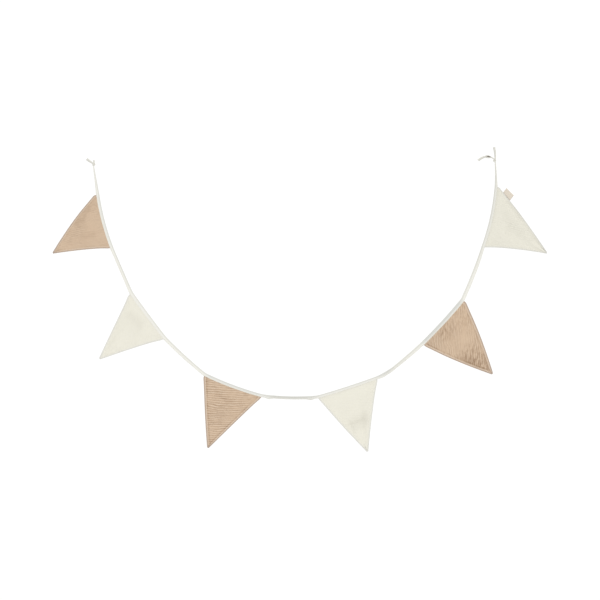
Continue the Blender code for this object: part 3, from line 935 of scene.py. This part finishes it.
# The binding's shades, several of them painted shade, the pitch of its weave, and the stretches that have
# rolled their face away from the light, with how much painted shade each takes
BINDING = screen(240, 239, 232)
BINDING_SLUB = screen(232, 230, 222)
BINDING_FOLD_SHADE = screen(220, 219, 211)
BINDING_GROOVE_SHADE = screen(222, 221, 214)
BINDING_SHADED = screen(211, 211, 206)
BINDING_INSIDE_SHADOW = screen(156, 149, 142)
BINDING_THREADS = 0.8
SHADED_STRETCHES = {"flag_1": 0.25, "flag_3": 0.6, "gap_3": 0.6, "twist_4": 0.75, "flag_5": 1.0}
GREYER_WITHIN = 15
GREYER_BEYOND = 6


def plain_cotton(name):
    """Close plain-woven cotton binding, with painted shade by its fold, along its sewn line and on rolled
    stretches, and painted shadow inside.
    """
    finish = Finish(name, roughness=0.9, sheen=0.08)
    place, x, y, inset = finish.written()
    thread = 2 * math.pi / BINDING_THREADS
    weave = (x * thread).sine() * (y * thread).sine()
    slub = finish.cloud(place, 3.0, detail=3.0)
    body = finish.blend(slub * 0.8 + finish.cloud(place, 30.0) * 0.3 - 0.1, BINDING, BINDING_SLUB)
    # Painted shade along the fold, where the strip curves away from the light
    fold_shade = finish.between(inset, 5.5, 8.5)
    body = finish.blend(fold_shade * 0.8, body, BINDING_FOLD_SHADE)
    near_edge = 1 - finish.between(inset, 3.5, 6.5)
    # Painted shade on the stretches that have rolled their face away from the light
    for stretch, share in SHADED_STRETCHES.items():
        first, last = (end / MM for end in hanging.spans[stretch])
        away = (x - (first + last) / 2).size()
        half = (last - first) / 2
        there = 1 - finish.between(away, half - GREYER_WITHIN, half + GREYER_BEYOND)
        body = finish.blend(there * share * (1 - near_edge * 0.6), body, BINDING_SHADED)
    # Painted shade in the groove of the sewn line
    sewn = 1 - finish.between((inset - TAPE_STITCH_INSET).size(), 0.3, 0.9)
    body = finish.blend(sewn * 0.4, body, BINDING_GROOVE_SHADE)
    # Painted shadow on the inside of the folded strip
    inside = 1 - finish.between(inset + y.size(), 5.0, 6.8)
    height = weave * 0.5 + slub * 0.5
    shade = finish.blend(inside, body, BINDING_INSIDE_SHADOW)
    return finish.finished(shade, height, relief_mm=0.16, strength=0.45)


binding = plain_cotton("cream_binding")
knots = {"left": hanging.frames(np.array(0.0))[0], "right": hanging.frames(np.array(hanging.length))[0]}
strips = {"tape": (hanging, 0.0, TAPE_STEP)}
for where, stretches in TAILS.items():
    tail = FoldLine(stretches, knots[where.split("_")[0]])
    strips[f"tail_{where}"] = (tail, TAIL_START_IN_KNOT, TAIL_STEP)

tape_meshes, tape_seams, tape_length = [], [], 0.0
for number, (name, (line, start, step)) in enumerate(strips.items()):
    s = np.linspace(start, line.length, round((line.length - start) / step) + 1)
    rings, flat, front = strip_rings(line, s, seed=STRIP_SEED + number)
    tape_meshes.append(loft_mesh(name, rings, flat))
    tape_seams.append((rings[:, TAPE_STITCHES], front))
    tape_seams.append((rings[:, 2 * len(TAPE_SIDE) - TAPE_STITCHES], -front))
    tape_length += line.length - start

joined = bmesh.new()
for mesh in tape_meshes:
    joined.from_mesh(mesh)
whole_tape = bpy.data.meshes.new("tape_binding")
joined.to_mesh(whole_tape)
joined.free()
tape = placed("tape_binding", whole_tape, binding)
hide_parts("tape")
tape_thread_mesh = thread_mesh("tape_stitching", tape_seams)
tape_threads = placed("tape_stitching", tape_thread_mesh, thread_finish["cream"])

# The knots. Each is one overhand turn of the same strip, bunched and pulled tight, a centimetre or so
# across, so it is a soft lump with a few crossing folds.
KNOT_SCALE = 1.3 * MM
KNOT_DEPTH = 2.0 * MM
KNOT_BAND_HALF = 2.1 * MM
KNOT_BAND_THICK = 1.3 * MM
KNOT_STEPS = 120
KNOT_AROUND = 14
KNOT_RIDGES = 5
KNOT_RIDGE_HEIGHT = 0.08
KNOT_TILT = {"left": 24, "right": -20}

# The knots have the shade that the strip has this far in from its lower edge
KNOT_INSET = 7 * MM


def knot_mesh(name, centre, tilt):
    """A flattened band swept round a closed overhand turn."""
    t = np.linspace(0, 2 * math.pi, KNOT_STEPS, endpoint=False)
    x = (np.sin(t) + 2 * np.sin(2 * t)) * KNOT_SCALE
    z = (np.cos(t) - 2 * np.cos(2 * t)) * KNOT_SCALE
    path = np.stack([x, -np.sin(3 * t) * KNOT_DEPTH, z], axis=-1)
    run = np.roll(path, -1, axis=0) - np.roll(path, 1, axis=0)
    run /= np.linalg.norm(run, axis=1, keepdims=True)
    outward = path / np.linalg.norm(path, axis=1, keepdims=True)
    outward -= run * (outward * run).sum(axis=1, keepdims=True)
    outward /= np.linalg.norm(outward, axis=1, keepdims=True)
    side = np.cross(run, outward)
    angles = np.arange(KNOT_AROUND) * 2 * math.pi / KNOT_AROUND
    ridges = 1 + KNOT_RIDGE_HEIGHT * np.sin(KNOT_RIDGES * angles)
    thick, wide = KNOT_BAND_THICK * np.cos(angles) * ridges, KNOT_BAND_HALF * np.sin(angles) * ridges
    rings = path[:, None] + outward[:, None] * thick[:, None] + side[:, None] * wide[:, None]
    cosine, sine = math.cos(math.radians(tilt)), math.sin(math.radians(tilt))
    tilted = np.array([[cosine, 0, sine], [0, 1, 0], [-sine, 0, cosine]])
    rings = rings @ tilted.T + centre
    length = np.linalg.norm(np.roll(path, -1, axis=0) - path, axis=1).cumsum()[:, None]
    flat = np.stack(np.broadcast_arrays(length, wide, KNOT_INSET), axis=-1)
    grid = np.arange(KNOT_STEPS * KNOT_AROUND).reshape(KNOT_STEPS, KNOT_AROUND)
    onward, around = np.roll(grid, -1, axis=0), np.roll(grid, -1, axis=1)
    quads = np.stack([grid, onward, np.roll(onward, -1, axis=1), around], axis=-1).reshape(-1, 4)
    mesh = bpy.data.meshes.new(name)
    mesh.from_pydata(rings.reshape(-1, 3).tolist(), [], quads.tolist())
    return marked(faced_out(mesh), cut=flat)


for side, centre in knots.items():
    mesh = knot_mesh(f"knot_{side}", centre, KNOT_TILT[side])
    placed(f"knot_{side}", mesh, binding)

# The studio. The bunting hangs in front of white and well above a plain pale floor. Soft light comes from
# all around, and a weaker one from a little above shows the relief.
FLOOR_BELOW = 1.12
FLOOR_HALF = 13.0
PHOTO_MIDDLE = np.array([0.6189, 0.0, -0.4065])
PHOTO_FIELD = 1.8
CAMERA_AWAY = 60.0
SENSOR_MM = 36.0
AROUND_LIGHT = 0.68
BACKDROP_LIGHT = 1.05
FLOOR_PATCHES = 400.0
FLOOR = screen(240, 240, 238)
FLOOR_PALER = screen(246, 246, 244)
SUN_SOFTNESS = math.radians(12)

# Each sun's name, the way towards it, and its strength: the key in front, and a weaker fill behind
Sun = namedtuple("Sun", "name x y z strength")
SUNS = [
    Sun("key", 0.04, -0.32, 0.136, 1.10),
    Sun("fill", -0.05, 0.22, 0.12, 0.75),
]

floor_mesh = bpy.data.meshes.new("floor")
floor_form = bmesh.new()
bmesh.ops.create_grid(floor_form, x_segments=8, y_segments=8, size=FLOOR_HALF)
floor_form.to_mesh(floor_mesh)
floor_form.free()
floor = bpy.data.objects.new("floor", floor_mesh)
floor.location = (PHOTO_MIDDLE[0], 0, PHOTO_MIDDLE[2] - FLOOR_BELOW)
bpy.context.scene.collection.objects.link(floor)
floor_finish = Finish("pale_floor", roughness=0.8, sheen=0.0)
floor_place = floor_finish.node("ShaderNodeTexCoord", {}, output="Object")
floor_tone = floor_finish.cloud(floor_place, FLOOR_PATCHES)
floor_colour = floor_finish.blend(floor_tone, FLOOR, FLOOR_PALER)
floor_mesh.materials.append(floor_finish.finished(floor_colour, floor_tone, relief_mm=0.2, strength=0.1))

world = bpy.data.worlds.new("white_studio")
world.use_nodes = True
bpy.context.scene.world = world
surroundings = Mixing(world.node_tree)
seen = surroundings.node("ShaderNodeLightPath", {}, output="Is Camera Ray")
levels = {"To Min": AROUND_LIGHT, "To Max": BACKDROP_LIGHT}
background = world.node_tree.nodes["Background"]
background.inputs["Color"].default_value = (1, 1, 1, 1)
strength = surroundings.node("ShaderNodeMapRange", {}, Value=seen, **levels)
surroundings.feed(background.inputs["Strength"], strength)

for sun in SUNS:
    light = bpy.data.lights.new(sun.name, "SUN")
    light.energy = sun.strength
    light.angle = SUN_SOFTNESS
    lamp = bpy.data.objects.new(sun.name, light)
    lamp.rotation_euler = Vector((sun.x, sun.y, sun.z)).to_track_quat("Z", "Y").to_euler()
    bpy.context.scene.collection.objects.link(lamp)

camera_data = bpy.data.cameras.new("camera")
camera_data.sensor_width = SENSOR_MM
camera_data.lens = SENSOR_MM * CAMERA_AWAY / PHOTO_FIELD
camera_data.clip_end = 2 * CAMERA_AWAY
camera = bpy.data.objects.new("camera", camera_data)
camera.location = PHOTO_MIDDLE + FORWARD * CAMERA_AWAY
camera.rotation_euler = (math.radians(90), 0, 0)
bpy.context.scene.collection.objects.link(camera)
bpy.context.scene.camera = camera
bpy.context.scene.view_settings.view_transform = "Standard"
